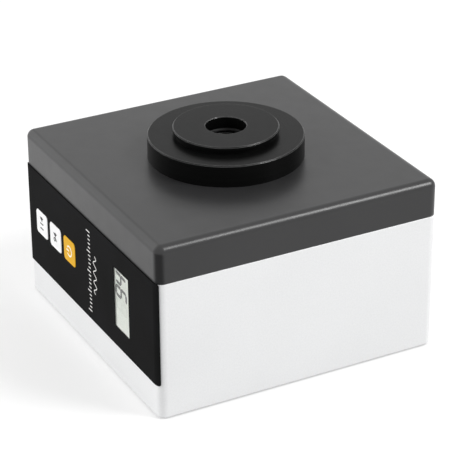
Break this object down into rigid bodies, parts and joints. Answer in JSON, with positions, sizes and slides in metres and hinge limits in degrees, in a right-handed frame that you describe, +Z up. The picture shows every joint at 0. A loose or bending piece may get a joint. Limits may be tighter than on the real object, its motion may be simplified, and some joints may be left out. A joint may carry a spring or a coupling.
{
  "type": "sound level calibrator",
  "caption": "Square bench-top sound level calibrator with a dark lid, pale base, foil key panel with display, and a round coupler whose lift-out adapter takes a half-inch microphone.",
  "frame": {"origin": "on the surface that the feet stand on, under the middle of the case", "axes": "+Z up along the microphone port, the control panel faces -Y, +X to the right of the panel"},
  "size_m": [0.1, 0.1005, 0.0703],
  "materials": {
    "lid_plastic": "fine moulded texture, dark grey",
    "base_plastic": "fine moulded texture, white",
    "film": "matt polyester film, black",
    "key_white": "satin, white",
    "key_orange": "satin, orange",
    "window": "clear acrylic",
    "display": "reflective display glass",
    "anodised": "turned, black anodised",
    "rubber": "matt black",
    "foam": "open cell",
    "steel": "zinc plated",
    "brass": "turned",
    "board": "solder mask, green",
    "chip": "moulded",
    "connector": "moulded, cream",
    "can": "drawn can",
    "ferrite": "sintered",
    "cone": "pressed fibre, black",
    "copper": "wound wire",
    "frame_metal": "pressed and painted",
    "battery_jacket": "plain printed jacket",
    "lead_red": "insulated lead, red",
    "lead_black": "insulated lead, black"
  },
  "bodies": {
    "housing": {"lower_case": "base_plastic", "upper_case": "lid_plastic", "case_screws": "steel", "case_inserts": "brass", "rubber_feet": "rubber", "panel_film": "film", "display_window": "window", "key_switches": "chip", "lcd_glass": "display", "lcd_frame": "chip", "lcd_contact_strips": "rubber", "control_board": "board", "board_screws": "steel", "board_connectors": "connector", "processor_chip": "chip", "board_capacitors": "can", "coupler_body": "anodised", "coupler_screws": "steel", "reference_microphone": "can", "microphone_bush": "rubber", "speaker_frame": "frame_metal", "speaker_top_plate": "steel", "speaker_magnet": "ferrite", "speaker_yoke": "steel", "speaker_gasket": "rubber", "speaker_screws": "steel", "speaker_surround": "rubber", "speaker_terminals": "brass", "battery": "battery_jacket", "battery_terminals": "steel", "battery_clip": "chip", "battery_foam": "foam", "battery_lead_positive": "lead_red", "battery_lead_negative": "lead_black", "speaker_leads": "lead_red", "microphone_lead": "lead_black"},
    "adapter": {"microphone_adapter": "anodised", "adapter_seal": "rubber", "microphone_seal": "rubber"},
    "high_key": {"level_key_high": "key_white", "high_switch_plunger": "chip"},
    "low_key": {"level_key_low": "key_white", "low_switch_plunger": "chip"},
    "power_button": {"power_key": "key_orange", "power_switch_plunger": "chip"},
    "door": {"battery_door": "base_plastic"},
    "cone": {"speaker_cone": "cone", "voice_coil": "copper", "dust_cap": "cone"}
  },
  "joints": [
    {"name": "adapter_lift", "type": "slide", "parent": "housing", "child": "adapter", "axis": [0, 0, 1], "range_m": [0, 0.03]},
    {"name": "high_key_press", "type": "slide", "parent": "housing", "child": "high_key", "axis": [0, 1, 0], "range_m": [0, 0.0004], "stiffness_N_per_m": 2000},
    {"name": "low_key_press", "type": "slide", "parent": "housing", "child": "low_key", "axis": [0, 1, 0], "range_m": [0, 0.0004], "stiffness_N_per_m": 2000},
    {"name": "power_key_press", "type": "slide", "parent": "housing", "child": "power_button", "axis": [0, 1, 0], "range_m": [0, 0.0004], "stiffness_N_per_m": 2000},
    {"name": "door_slide", "type": "slide", "parent": "housing", "child": "door", "axis": [0, 1, 0], "range_m": [0, 0.034]},
    {"name": "cone_travel", "type": "slide", "parent": "housing", "child": "cone", "axis": [0, 0, 1], "range_m": [-0.0003, 0.0003], "stiffness_N_per_m": 500}
  ]
}
